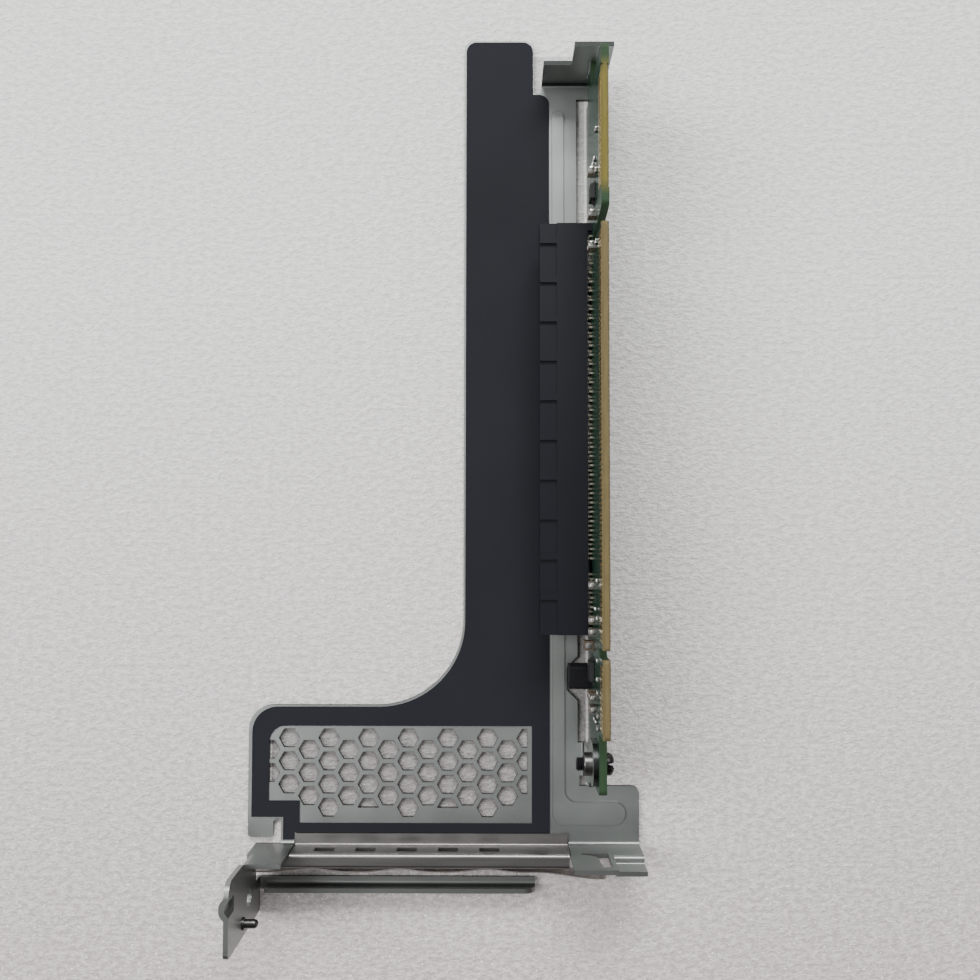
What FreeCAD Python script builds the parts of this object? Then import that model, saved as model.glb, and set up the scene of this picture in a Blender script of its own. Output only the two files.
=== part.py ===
"""Low-profile PCIe riser card in its sheet-metal cage.

The cage is one folded sheet: a long L-shaped plate with an end flange, a rear wall, a screw
tab and a bracket tab with its retaining arm.  The circuit board stands on edge along the
plate's right side, carries a x16 card slot on its component face and plugs into a
motherboard with the gold fingers along its upper edge.

Frame: X is 0 at the board's component face, Y is 0 at the board's rear end, Z is 0 at the
plate's underside.  +X points away from the slot's mouth, +Y towards the end flange and +Z
towards the edge connector.  All sizes are in millimetres.
"""
import FreeCAD, Part
import math
import os
from types import SimpleNamespace

import Sketcher

SIZES = [
    # cage plate
    ("sheet_gauge", 1.0),
    ("bend_radius", 0.8),
    ("arm_left", -28.0),
    ("arm_end", 166.2),
    ("finger_right", -12.1),
    ("finger_gap", 1.8),
    ("finger_gap_floor", 153.9),
    ("arm_corner", 2.3),
    ("foot_left", -76.0),
    ("foot_top", 14.3),
    ("foot_corner", 5.6),
    ("throat_radius", 19.2),
    ("hook_end", -15.0),
    ("hook_right", -70.3),
    ("hook_corner", 0.9),
    ("hook_slot_head", -11.0),
    ("board_gap", 2.35),
    ("board_bay_top", 152.4),
    ("board_bay_bottom", 6.1),
    ("part_bay_left", -4.8),
    ("part_bay_low", 17.7),
    ("part_bay_high", 22.8),
    ("part_bay_slant", 2.4),
    ("relief_left", -2.0),
    ("relief_top", -1.3),
    ("relief_gap", 0.4),
    ("tab_bend_gap", 0.4),
    ("ear_top", -3.5),
    ("ear_right", 11.2),
    ("ear_corner", 1.75),
    # end flange
    ("flange_face", 156.1),
    ("flange_right", 4.3),
    ("flange_step_x", -4.1),
    ("flange_low_height", 10.7),
    ("flange_height", 19.7),
    # screw tab and its nut
    ("tab_height", 24.4),
    ("tab_head_width", 9.0),
    ("tab_shoulder", 12.0),
    ("tab_slant", 3.7),
    ("screw_y", 5.3),
    ("screw_z", 20.0),
    # rear wall
    ("wall_face", -16.4),
    ("left_wall_end", -74.3),
    ("left_wall_right", -68.6),
    ("left_wall_height", 16.0),
    ("neck_right", -65.6),
    ("right_wall_left", -4.5),
    ("right_wall_height", 19.4),
    ("step_wall_left", 4.6),
    ("step_height", 9.6),
    ("step_depth", 1.7),
    ("step_wall_height", 14.8),
    ("window_left", -2.2),
    ("window_right", 3.6),
    ("window_low", 7.8),
    ("window_high", 17.4),
    ("window_slit", 0.9),
    ("window_tongue", 1.3),
    ("window_radius", 3.3),
    # bracket tab and arm
    ("bracket_height", 28.5),
    ("bracket_end", -31.3),
    ("bracket_corner", 3.0),
    ("bracket_low", 0.3),
    ("bracket_hole", 4.1),
    ("bracket_hole_y", -25.1),
    ("bracket_hole_z", 10.6),
    ("bracket_slot", 1.5),
    ("bracket_slot_height", 9.0),
    ("bracket_relief", 4.3),
    ("rib_y", -21.6),
    ("rib_width", 4.4),
    ("rib_depth", 1.0),
    ("rib_flank", 1.1),
    ("rib_length", 5.0),
    ("arm_inner", -23.5),
    ("arm_width", 2.7),
    ("arm_lip", 4.2),
    ("arm_tip", -12.0),
    # stiffening bead
    ("bead_height", 0.45),
    ("bead_left", -8.0),
    ("bead_width", 2.7),
    ("bead_top", 149.6),
    ("bead_leg_top", -7.0),
    ("bead_leg_width", 5.1),
    ("bead_leg_end", 8.2),
    ("bead_corner", 2.5),
    # hexagonal vent
    ("hex_flat", 4.1),
    ("hex_web", 1.02),
    ("hex_first_x", -66.9),
    ("hex_first_y", 6.95),
    ("hex_columns", 6),
    ("hex_rows", 3),
    # insulation film
    ("film_gauge", 0.25),
    ("film_inset", 0.4),
    ("film_right", -8.65),
    ("film_bottom", -13.85),
    ("film_foot_bottom", -10.5),
    ("film_leg_left", -68.1),
    ("film_leg_end", -15.5),
    ("film_step_y", 153.5),
    ("vent_left", -71.4),
    ("vent_right", -12.65),
    ("vent_top", 9.65),
    ("vent_bottom", -11.8),
    ("vent_notch_x", -64.5),
    ("vent_notch_y", -6.9),
    ("vent_corner", 3.6),
    # gasket rail and contact spring
    ("rail_gauge", 0.8),
    ("rail_left", -68.0),
    ("rail_right", -4.8),
    ("rail_foot_width", 2.5),
    ("rail_foot_left", -65.2),
    ("rail_height", 8.9),
    ("rail_lip", 3.2),
    ("rail_lip_gauge", 1.8),
    ("rail_hole_width", 4.4),
    ("rail_hole_height", 3.0),
    ("rail_hole_low", 3.9),
    ("rail_hole_first", -58.2),
    ("rail_hole_pitch", 9.02),
    ("rail_hole_count", 5),
    ("spring_gauge", 0.25),
    ("spring_low", 2.2),
    ("spring_high", 8.0),
    ("spring_bow", 0.65),
    ("spring_first", -68.4),
    ("spring_finger", 15.9),
    ("spring_pitch", 18.8),
    ("spring_count", 3),
    ("spring_clearance", 0.05),
    ("tail_finger", 14.4),
    ("tail_flare", 1.3),
    # locating pin
    ("pin_diameter", 1.9),
    ("pin_length", 3.2),
    ("pin_collar", 0.4),
    ("pin_y", -28.6),
    ("pin_z", 16.0),
    # circuit board
    ("board_gauge", 1.57),
    ("board_bottom", 0.5),
    ("shoulder_height", 25.6),
    ("tongue_height", 34.2),
    ("short_tongue_start", 12.4),
    ("key_start", 27.9),
    ("key_width", 1.9),
    ("key_floor", 26.2),
    ("long_tongue_end", 114.4),
    ("throat_bottom", 14.0),
    ("throat_mouth", 2.9),
    ("throat_taper", 1.6),
    ("throat_floor", 0.5),
    ("board_end", 150.2),
    ("upper_tongue_start", 120.8),
    ("upper_tongue_end", 145.8),
    ("tongue_corner", 1.2),
    ("bevel_depth", 1.3),
    ("bevel_side", 0.4),
    ("lug_low", 4.0),
    ("lug_height", 8.0),
    ("lug_reach", 0.9),
    ("lug_clearance", 0.15),
    ("screw_hole", 3.2),
    # edge contacts
    ("pad_gauge", 0.05),
    ("pad_width", 0.7),
    ("pad_pitch", 1.0),
    ("pad_length", 4.6),
    ("pad_margin", 1.1),
    # card slot
    ("slot_y", 31.0),
    ("slot_length", 89.0),
    ("slot_middle", 9.55),
    ("slot_width", 7.5),
    ("slot_depth", 10.3),
    ("slot_standoff", 0.95),
    ("slot_rail_depth", 3.65),
    ("slot_rail_step", 0.55),
    ("slot_rib_width", 1.4),
    ("slot_rib_pitch", 8.56),
    ("slot_rib_first", 38.5),
    ("slot_rib_count", 10),
    ("slot_cavity_width", 4.1),
    ("slot_mouth_width", 1.85),
    ("slot_lip", 1.2),
    ("slot_end_wall", 1.9),
    ("slot_key", 13.9),
    ("slot_key_width", 1.7),
    ("slot_foot", 1.6),
    ("contact_gauge", 0.4),
    ("contact_thickness", 0.25),
    ("contact_pitch", 1.0),
    ("contact_tip_gap", 0.3),
    ("contact_bow_length", 5.0),
    ("contact_touch", 0.75),
    ("tail_outer", 2.85),
    ("tail_inner", 1.35),
    ("contact_margin", 0.6),
    # screw and nut
    ("screw_diameter", 2.9),
    ("screw_head", 4.6),
    ("screw_head_height", 2.0),
    ("screw_tip", -4.2),
    ("screw_recess", 0.8),
    ("recess_depth", 1.1),
    ("nut_diameter", 4.8),
    ("nut_height", 1.8),
    ("nut_shank", 4.0),
    ("thread_clearance", 0.05),
    # parts soldered to the board
    ("inductor_length", 4.9),
    ("inductor_depth", 4.7),
    ("inductor_height", 7.0),
    ("inductor_y", 19.0),
    ("inductor_z", 2.2),
    ("regulator_y", 21.6),
    ("regulator_z", 11.0),
    ("regulator_length", 4.0),
    ("regulator_width", 5.0),
    ("regulator_pitch", 1.27),
    ("regulator_depth", 1.0),
    ("capacitor_z", 20.8),
    ("capacitor_length", 3.2),
    ("capacitor_width", 1.6),
    ("capacitor_depth", 1.5),
    ("resistor_z", 18.4),
    ("resistor_length", 1.6),
    ("resistor_width", 0.8),
    ("resistor_depth", 0.5),
    ("buffer_y", 122.6),
    ("buffer_z", 18.0),
    ("buffer_length", 3.0),
    ("buffer_width", 4.4),
    ("buffer_depth", 1.1),
    ("lead_count", 4),
    ("lead_pitch", 0.65),
    ("lead_width", 0.3),
    ("lead_reach", 1.0),
    ("lead_gauge", 0.15),
    ("lead_lift", 0.1),
    ("part_pitch", 2.4),
    ("part_row", 3.6),
    ("tantalum_y", 28.8),
    ("tantalum_z", 12.0),
    ("tantalum_length", 3.5),
    ("tantalum_width", 2.0),
    ("tantalum_depth", 1.9),
]

doc = FreeCAD.newDocument("RiserCard")
sheet = doc.addObject("Spreadsheet::Sheet", "Sizes")
for row, (alias, size) in enumerate(SIZES, start=1):
    sheet.set(f"A{row}", alias)
    sheet.set(f"B{row}", str(size))
    sheet.setAlias(f"B{row}", alias)
doc.recompute()


# ---------------------------------------------------------------------------- helpers
class Dim:
    """A size as both its number and the expression that gives it from the sheet."""

    def __init__(self, number, text):
        self.number = number
        self.text = text

    def __add__(self, other):
        other = as_dim(other)
        return Dim(self.number + other.number, f"({self.text} + {other.text})")

    def __sub__(self, other):
        other = as_dim(other)
        return Dim(self.number - other.number, f"({self.text} - {other.text})")

    def __mul__(self, other):
        other = as_dim(other)
        return Dim(self.number * other.number, f"({self.text} * {other.text})")

    def __truediv__(self, other):
        other = as_dim(other)
        return Dim(self.number / other.number, f"({self.text} / {other.text})")

    def __neg__(self):
        return Dim(-self.number, f"(-{self.text})")


def as_dim(size):
    """A Dim from a Dim or a bare number."""
    return size if isinstance(size, Dim) else Dim(float(size), f"({size})")


S = SimpleNamespace(**{alias: Dim(sheet.get(alias), f"Sizes.{alias}") for alias, _ in SIZES})
N = SimpleNamespace(**{alias: sheet.get(alias) for alias, _ in SIZES})
SHARP = as_dim(0)
ROOT3 = math.sqrt(3)
UPWARD = FreeCAD.Vector(0, 0, 1)
LENGTHWISE = FreeCAD.Vector(0, 1, 0)
NODES = []


def bind(thing, path, size):
    """Tie one property of an object to a size."""
    thing.setExpression(path, as_dim(size).text)


def new_body(label):
    """A PartDesign body that becomes one sub-part."""
    body = doc.addObject("PartDesign::Body", label)
    body.Label = label
    NODES.append(body)
    return body


def new_sketch(body, role, offset=0):
    """A sketch on one of the body's own origin planes, moved along the plane's normal."""
    sketch = body.newObject("Sketcher::SketchObject", "Sketch")
    plane = [item for item in body.Origin.OriginFeatures if item.Role == role][0]
    sketch.AttachmentSupport = [(plane, "")]
    sketch.MapMode = "FlatFace"
    bind(sketch, "AttachmentOffset.Base.z", offset)
    return sketch


def pin_point(sketch, geometry, vertex, across, up):
    """Hold one point of a sketch at two sizes measured from its origin."""
    for kind, size in (("DistanceX", across), ("DistanceY", up)):
        rule = Sketcher.Constraint(kind, -1, 1, geometry, vertex, as_dim(size).number)
        index = sketch.addConstraint(rule)
        bind(sketch, f"Constraints[{index}]", size)


def add_outline(sketch, corners):
    """Closed outline through (across, up[, radius]) corners with tangent arcs at radii."""
    corners = [(as_dim(c[0]), as_dim(c[1]), as_dim(c[2]) if len(c) > 2 else SHARP) for c in corners]
    places = [FreeCAD.Vector(across.number, up.number, 0) for across, up, _ in corners]
    count = len(corners)
    turns = []
    for index, place in enumerate(places):
        before = (places[index - 1] - place).normalize()
        after = (places[(index + 1) % count] - place).normalize()
        half = before.getAngle(after) / 2
        reach = corners[index][2].number / math.tan(half)
        turns.append((place + before * reach, place + after * reach, before, after, half))
    lines = []
    for index in range(count):
        start = turns[index][1]
        end = turns[(index + 1) % count][0]
        lines.append(sketch.addGeometry(Part.LineSegment(start, end), False))
    for index, (across, up, radius) in enumerate(corners):
        arriving = lines[index - 1]
        leaving = lines[index]
        if radius.number == 0:
            sketch.addConstraint(Sketcher.Constraint("Coincident", arriving, 2, leaving, 1))
            pin_point(sketch, leaving, 1, across, up)
            continue
        first, second, before, after, half = turns[index]
        centre = places[index] + (before + after).normalize() * (radius.number / math.sin(half))
        turns_left = before.cross(after).z < 0
        low, high = (first, second) if turns_left else (second, first)
        circle = Part.Circle(centre, FreeCAD.Vector(0, 0, 1), radius.number)
        low_angle = math.atan2(low.y - centre.y, low.x - centre.x)
        high_angle = math.atan2(high.y - centre.y, high.x - centre.x)
        arc = sketch.addGeometry(Part.ArcOfCircle(circle, low_angle, high_angle), False)
        arc_in, arc_out = (1, 2) if turns_left else (2, 1)
        sketch.addConstraint(Sketcher.Constraint("Tangent", arriving, 2, arc, arc_in))
        sketch.addConstraint(Sketcher.Constraint("Tangent", arc, arc_out, leaving, 1))
        corner = sketch.addGeometry(Part.Point(places[index]), True)
        sketch.addConstraint(Sketcher.Constraint("PointOnObject", corner, 1, arriving))
        sketch.addConstraint(Sketcher.Constraint("PointOnObject", corner, 1, leaving))
        pin_point(sketch, corner, 1, across, up)
        rule = sketch.addConstraint(Sketcher.Constraint("Radius", arc, radius.number))
        bind(sketch, f"Constraints[{rule}]", radius)


def add_circle(sketch, across, up, diameter):
    """A circle whose centre and diameter follow sizes."""
    across, up, diameter = as_dim(across), as_dim(up), as_dim(diameter)
    centre = FreeCAD.Vector(across.number, up.number, 0)
    circle = Part.Circle(centre, FreeCAD.Vector(0, 0, 1), diameter.number / 2)
    index = sketch.addGeometry(circle, False)
    pin_point(sketch, index, 3, across, up)
    rule = sketch.addConstraint(Sketcher.Constraint("Diameter", index, diameter.number))
    bind(sketch, f"Constraints[{rule}]", diameter)


def rectangle(left, right, low, high, radius=0):
    """Corners of a rectangle for add_outline."""
    return [(left, low, radius), (right, low, radius), (right, high, radius), (left, high, radius)]


def pad(body, role, offset, outlines, length, reverse=False, circles=()):
    """Add the material of a sketch's outlines along its plane's normal, or against it."""
    sketch = new_sketch(body, role, offset)
    for corners in outlines:
        add_outline(sketch, corners)
    for circle in circles:
        add_circle(sketch, *circle)
    feature = body.newObject("PartDesign::Pad", "Pad")
    feature.Profile = sketch
    bind(feature, "Length", length)
    feature.Reversed = reverse
    body.Tip = feature
    doc.recompute()
    return feature


def pocket(body, role, offset, outlines, length, reverse=False, circles=()):
    """Cut a sketch's outlines against its plane's normal, or along it when reversed."""
    before = body.Shape.Volume
    sketch = new_sketch(body, role, offset)
    for corners in outlines:
        add_outline(sketch, corners)
    for circle in circles:
        add_circle(sketch, *circle)
    feature = body.newObject("PartDesign::Pocket", "Pocket")
    feature.Profile = sketch
    bind(feature, "Length", length)
    feature.Reversed = reverse
    body.Tip = feature
    doc.recompute()
    if body.Shape.Volume >= before:
        raise RuntimeError(f"a pocket of {body.Label} cuts nothing")
    return feature


def repeat(body, feature, steps):
    """Repeat a feature along its sketch's axes: (axis, spacing, count) for each direction."""
    multi = body.newObject("PartDesign::MultiTransform", "Grid")
    multi.Originals = [feature]
    moves = []
    for axis, spacing, count in steps:
        spacing = as_dim(spacing)
        move = body.newObject("PartDesign::LinearPattern", "Step")
        move.Direction = (feature.Profile[0], [axis])
        move.Mode = "Spacing"
        move.Reversed = spacing.number < 0
        bind(move, "Offset", -spacing if move.Reversed else spacing)
        bind(move, "Occurrences", count)
        moves.append(move)
    multi.Transformations = moves
    body.Tip = multi
    doc.recompute()


def drawn_part(label, shape):
    """A sub-part whose shape is built by code from the sheet's sizes."""
    feature = doc.addObject("Part::Feature", label)
    feature.Label = label
    feature.Shape = shape
    feature.Placement = FreeCAD.Placement()
    NODES.append(feature)
    return feature


def solid_box(left, right, front, back, low, high):
    """A box between six numbers."""
    corner = FreeCAD.Vector(left, front, low)
    return Part.makeBox(right - left, back - front, high - low, corner)


def strip_face(points, thickness, facing):
    """A ribbon of even thickness along an open flat centre line, as one planar face."""
    sides = ([], [])
    for index, point in enumerate(points):
        before = (point - points[max(index - 1, 0)])
        after = (points[min(index + 1, len(points) - 1)] - point)
        arriving = before.normalize() if before.Length else after.normalize()
        leaving = after.normalize() if after.Length else arriving
        along = (arriving + leaving).normalize()
        normal = facing.cross(along)
        reach = thickness / 2 / max(along.dot(leaving), 0.3)
        sides[0].append(point + normal * reach)
        sides[1].append(point - normal * reach)
    outline = sides[0] + sides[1][::-1]
    return Part.Face(Part.makePolygon(outline + outline[:1]))


TOP = S.sheet_gauge
BEND = S.bend_radius
FOLD = S.sheet_gauge + S.bend_radius
LAP = S.sheet_gauge / 2


# ---------------------------------------------------------------------------- cage sheet
WALL_BACK = S.wall_face - S.sheet_gauge
WALL_ROOT = S.wall_face + S.bend_radius
FLANGE_ROOT = S.flange_face - S.bend_radius
FLANGE_BACK = S.flange_face + S.sheet_gauge
TAB_ROOT = S.relief_left + S.tab_bend_gap
BRACKET_INNER = S.left_wall_end + S.sheet_gauge
BRACKET_FOLD = S.left_wall_end + FOLD
ARM_TOP = S.bracket_low + S.sheet_gauge


def cage_plate(body):
    """The plate on the floor of the cage, with its foot, hook, ear and part bays."""
    pad(body, "XY_Plane", 0, [[
        (S.arm_left, S.arm_end, S.arm_corner),
        (S.arm_left, S.foot_top, S.throat_radius),
        (S.foot_left, S.foot_top, S.foot_corner),
        (S.foot_left, S.hook_end, S.hook_corner),
        (S.hook_right, S.hook_end, S.hook_corner),
        (S.hook_right, S.hook_slot_head, S.hook_corner),
        (S.left_wall_right, S.hook_slot_head, S.hook_corner / 2),
        (S.left_wall_right, WALL_ROOT),
        (S.neck_right, WALL_ROOT),
        (S.neck_right + S.relief_gap, WALL_ROOT),
        (S.neck_right + S.relief_gap, WALL_BACK),
        (S.right_wall_left - S.relief_gap, WALL_BACK),
        (S.right_wall_left - S.relief_gap, WALL_ROOT),
        (S.ear_right, WALL_ROOT),
        (S.ear_right, S.ear_top, S.ear_corner),
        (S.relief_left, S.ear_top),
        (S.relief_left, S.relief_top),
        (TAB_ROOT, S.relief_top),
        (TAB_ROOT, S.board_bay_bottom),
        (-S.board_gap, S.board_bay_bottom),
        (-S.board_gap, S.part_bay_low - S.part_bay_slant),
        (S.part_bay_left, S.part_bay_low),
        (S.part_bay_left, S.part_bay_high),
        (-S.board_gap, S.part_bay_high + S.part_bay_slant),
        (-S.board_gap, S.board_bay_top),
        (S.flange_right, S.board_bay_top),
        (S.flange_right, FLANGE_ROOT),
        (S.finger_right + S.finger_gap, FLANGE_ROOT),
        (S.finger_right + S.finger_gap, S.finger_gap_floor),
        (S.finger_right, S.finger_gap_floor),
        (S.finger_right, S.arm_end, S.arm_corner),
    ]], TOP)


def end_flange(body):
    """The folded end wall with the slot that takes the board's lug."""
    left = S.finger_right + S.finger_gap
    pad(body, "YZ_Plane", left, [[
        (FLANGE_ROOT - LAP, 0),
        (FLANGE_BACK, 0, FOLD),
        (FLANGE_BACK, S.flange_height),
        (S.flange_face, S.flange_height),
        (S.flange_face, TOP, BEND),
        (FLANGE_ROOT - LAP, TOP),
    ]], S.flange_right - left)
    beyond = S.sheet_gauge * 2
    pocket(body, "XZ_Plane", -FLANGE_ROOT, [[
        (left - S.sheet_gauge, S.flange_low_height),
        (S.flange_step_x, S.flange_low_height),
        (S.flange_step_x, S.flange_height + S.sheet_gauge),
        (left - S.sheet_gauge, S.flange_height + S.sheet_gauge),
    ]], beyond)
    low = S.lug_low - S.lug_clearance
    high = S.lug_low + S.lug_height + S.lug_clearance
    slot = rectangle(-S.lug_clearance, S.board_gauge + S.lug_clearance, low, high)
    pocket(body, "XZ_Plane", -FLANGE_ROOT, [slot], beyond)


def screw_tab(body):
    """The tab behind the board's corner, folded up from the plate, with the nut's hole."""
    inner = -TAB_ROOT - S.sheet_gauge
    pad(body, "XZ_Plane", -S.board_bay_bottom, [[
        (TAB_ROOT - LAP, 0),
        (0, 0, -TAB_ROOT),
        (0, LAP - TAB_ROOT),
        (-S.sheet_gauge, LAP - TAB_ROOT),
        (-S.sheet_gauge, TOP, inner),
        (TAB_ROOT - LAP, TOP),
    ]], S.board_bay_bottom - S.relief_top)
    half = S.tab_head_width / 2
    pad(body, "YZ_Plane", -S.sheet_gauge, [[
        (S.relief_top, -TAB_ROOT),
        (S.board_bay_bottom, -TAB_ROOT),
        (S.board_bay_bottom, S.tab_shoulder),
        (S.screw_y + half, S.tab_shoulder + S.tab_slant),
        (S.screw_y + half, S.tab_height, half * 0.96),
        (S.screw_y - half, S.tab_height, half * 0.96),
        (S.screw_y - half, S.tab_shoulder + S.tab_slant),
        (S.relief_top, S.tab_shoulder),
    ]], S.sheet_gauge)
    hole = (S.screw_y, S.screw_z, S.nut_shank + S.thread_clearance)
    pocket(body, "YZ_Plane", -S.sheet_gauge * 2, [], S.sheet_gauge * 3, True, [hole])


def rear_wall(body):
    """The folded rear wall: a low left part, a right part with a window, and a step."""
    root = [
        (WALL_ROOT + LAP, 0),
        (WALL_BACK, 0, FOLD),
        (WALL_BACK, FOLD + LAP),
        (S.wall_face, FOLD + LAP),
        (S.wall_face, TOP, BEND),
        (WALL_ROOT + LAP, TOP),
    ]
    pad(body, "YZ_Plane", S.left_wall_right, [root], S.neck_right - S.left_wall_right)
    pad(body, "XZ_Plane", -S.wall_face, [[
        (S.left_wall_end, S.bracket_low),
        (S.left_wall_right, S.bracket_low),
        (S.left_wall_right, FOLD),
        (S.neck_right, FOLD),
        (S.neck_right, S.left_wall_height),
        (BRACKET_FOLD, S.left_wall_height),
        (BRACKET_FOLD, S.bracket_slot_height),
        (S.left_wall_end, S.bracket_slot_height),
    ]], S.sheet_gauge)
    right = [
        (WALL_ROOT + LAP, 0),
        (WALL_BACK, 0, FOLD),
        (WALL_BACK, S.right_wall_height),
        (S.wall_face, S.right_wall_height),
        (S.wall_face, TOP, BEND),
        (WALL_ROOT + LAP, TOP),
    ]
    pad(body, "YZ_Plane", S.right_wall_left, [right], S.step_wall_left - S.right_wall_left)
    step_back = WALL_BACK - S.step_depth
    low = S.step_height - S.sheet_gauge
    tight = S.bend_radius / 2
    pad(body, "YZ_Plane", S.step_wall_left, [[
        (WALL_ROOT + LAP, 0),
        (WALL_BACK, 0, FOLD),
        (WALL_BACK, low, tight),
        (step_back, low, tight * 2),
        (step_back, S.step_wall_height),
        (step_back + S.sheet_gauge, S.step_wall_height),
        (step_back + S.sheet_gauge, S.step_height, tight),
        (S.wall_face, S.step_height, tight * 2),
        (S.wall_face, TOP, BEND),
        (WALL_ROOT + LAP, TOP),
    ]], S.ear_right - S.step_wall_left)
    shelf = S.window_low + S.window_slit
    pocket(body, "XZ_Plane", -S.wall_face - S.sheet_gauge, [[
        (S.window_left, S.window_low),
        (S.window_right, S.window_low),
        (S.window_right, S.window_high),
        (S.window_tongue, S.window_high),
        (S.window_tongue, shelf, S.window_radius),
        (S.window_left, shelf),
    ]], S.sheet_gauge * 3, True)


def bracket_tab(body):
    """The tab that carries the card bracket's screw, with its half-round guide rib."""
    pad(body, "XY_Plane", S.bracket_slot_height, [[
        (BRACKET_FOLD + LAP, S.wall_face),
        (S.left_wall_end, S.wall_face, FOLD),
        (S.left_wall_end, S.wall_face - FOLD - LAP),
        (BRACKET_INNER, S.wall_face - FOLD - LAP),
        (BRACKET_INNER, WALL_BACK, BEND),
        (BRACKET_FOLD + LAP, WALL_BACK),
    ]], S.left_wall_height - S.bracket_slot_height)
    slot_edge = WALL_BACK - S.bracket_slot
    pad(body, "YZ_Plane", S.left_wall_end, [[
        (S.bracket_end, S.bracket_low, S.hook_corner),
        (S.arm_inner - S.arm_width, S.bracket_low),
        (S.arm_inner - S.arm_width, S.bracket_low + FOLD),
        (S.arm_inner, S.bracket_low + FOLD),
        (S.arm_inner, S.bracket_relief),
        (slot_edge, S.bracket_relief),
        (slot_edge, S.bracket_slot_height),
        (S.wall_face - FOLD, S.bracket_slot_height),
        (S.wall_face - FOLD, S.left_wall_height + S.relief_gap),
        (S.wall_face, S.left_wall_height + S.relief_gap),
        (S.wall_face, S.bracket_height, S.bracket_corner),
        (S.bracket_end, S.bracket_height, S.hook_corner),
    ]], S.sheet_gauge)
    hole = (S.bracket_hole_y, S.bracket_hole_z, S.bracket_hole)
    pocket(body, "YZ_Plane", S.left_wall_end - S.sheet_gauge, [], S.sheet_gauge * 3, True, [hole])
    low = S.bracket_height - S.rib_length
    half = S.rib_width / 2
    flank = S.rib_depth + S.rib_depth
    pad(body, "XY_Plane", low, [[
        (S.left_wall_end, S.rib_y + half),
        (S.left_wall_end - S.rib_depth, S.rib_y + half - S.rib_flank, flank),
        (S.left_wall_end - S.rib_depth, S.rib_y - half + S.rib_flank, flank),
        (S.left_wall_end, S.rib_y - half),
    ]], S.rib_length)
    inner = half - S.sheet_gauge * 0.6
    recess = S.rib_depth * 0.85
    pocket(body, "XY_Plane", low + LAP, [[
        (BRACKET_INNER, S.rib_y + inner),
        (BRACKET_INNER - recess, S.rib_y + inner - S.rib_flank, recess),
        (BRACKET_INNER - recess, S.rib_y - inner + S.rib_flank, recess),
        (BRACKET_INNER, S.rib_y - inner),
    ]], S.rib_length, True)


def retaining_arm(body):
    """The arm that runs from the bracket tab's foot along the cage's rear."""
    outer = S.arm_inner - S.arm_width
    lip_start = BRACKET_FOLD + S.sheet_gauge
    pad(body, "XZ_Plane", -S.arm_inner, [[
        (S.left_wall_end, S.bracket_low, FOLD),
        (lip_start, S.bracket_low),
        (lip_start, ARM_TOP),
        (BRACKET_INNER, ARM_TOP, BEND),
        (BRACKET_INNER, S.bracket_low + FOLD + LAP),
        (S.left_wall_end, S.bracket_low + FOLD + LAP),
    ]], S.arm_width)
    pad(body, "YZ_Plane", lip_start, [[
        (S.arm_inner, S.bracket_low),
        (outer, S.bracket_low, FOLD),
        (outer, S.arm_lip),
        (outer + S.sheet_gauge, S.arm_lip),
        (outer + S.sheet_gauge, ARM_TOP, BEND),
        (S.arm_inner, ARM_TOP),
    ]], S.arm_tip - lip_start)
    corner = (S.arm_lip - ARM_TOP) * 0.9
    pocket(body, "XZ_Plane", -outer - S.sheet_gauge * 2, [[
        (S.arm_tip - corner, S.arm_lip),
        (S.arm_tip, S.arm_lip, corner * 0.96),
        (S.arm_tip, S.arm_lip - corner),
        (S.arm_tip + corner, S.arm_lip - corner),
        (S.arm_tip + corner, S.arm_lip + corner),
        (S.arm_tip - corner, S.arm_lip + corner),
    ]], S.sheet_gauge * 4, True)


def hexagon(centre_x, centre_y):
    """Corners of one vent hexagon with two flat sides across Y."""
    reach = S.hex_flat / ROOT3
    half = S.hex_flat / 2
    return [
        (centre_x + reach, centre_y),
        (centre_x + reach / 2, centre_y + half),
        (centre_x - reach / 2, centre_y + half),
        (centre_x - reach, centre_y),
        (centre_x - reach / 2, centre_y - half),
        (centre_x + reach / 2, centre_y - half),
    ]


def vent(body):
    """The hexagonal vent: whole holes in staggered columns, and cut ones at its borders."""
    rise = S.hex_flat + S.hex_web
    run = rise * (ROOT3 / 2)
    reach = S.hex_flat / ROOT3
    half = S.hex_flat / 2
    first_x, first_y = S.hex_first_x, S.hex_first_y
    through = (S.sheet_gauge * 3, True)

    def hole(corners):
        """One opening through the plate."""
        return pocket(body, "XY_Plane", -S.sheet_gauge, [corners], *through)

    even = hole(hexagon(first_x, first_y))
    repeat(body, even, [("H_Axis", run * 2, S.hex_columns), ("V_Axis", -rise, S.hex_rows)])
    odd = hole(hexagon(first_x + run, first_y - rise / 2))
    repeat(body, odd, [("H_Axis", run * 2, S.hex_columns), ("V_Axis", -rise, S.hex_rows)])
    low_y = first_y - rise * S.hex_rows
    low = hole(hexagon(first_x + run * 2, low_y))
    repeat(body, low, [("H_Axis", run * 4, S.hex_columns / 2)])
    cut_x = first_x + run * 4
    cut = hole([
        (cut_x + reach, low_y),
        (cut_x + reach / 2, low_y + half),
        (cut_x - reach / 2, low_y + half),
        (cut_x - reach, low_y),
    ])
    repeat(body, cut, [("H_Axis", run * 4, S.hex_columns / 2 - 1)])
    right_x = first_x + run * (S.hex_columns * 2)
    right = hole([
        (right_x, first_y + half),
        (right_x - reach / 2, first_y + half),
        (right_x - reach, first_y),
        (right_x - reach / 2, first_y - half),
        (right_x, first_y - half),
    ])
    repeat(body, right, [("V_Axis", -rise, S.hex_rows)])
    left_x = first_x - run
    left_y = first_y - rise / 2
    left = hole([
        (left_x, left_y - half),
        (left_x + reach / 2, left_y - half),
        (left_x + reach, left_y),
        (left_x + reach / 2, left_y + half),
        (left_x, left_y + half),
    ])
    repeat(body, left, [("V_Axis", -rise, S.hex_rows - 1)])


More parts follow.
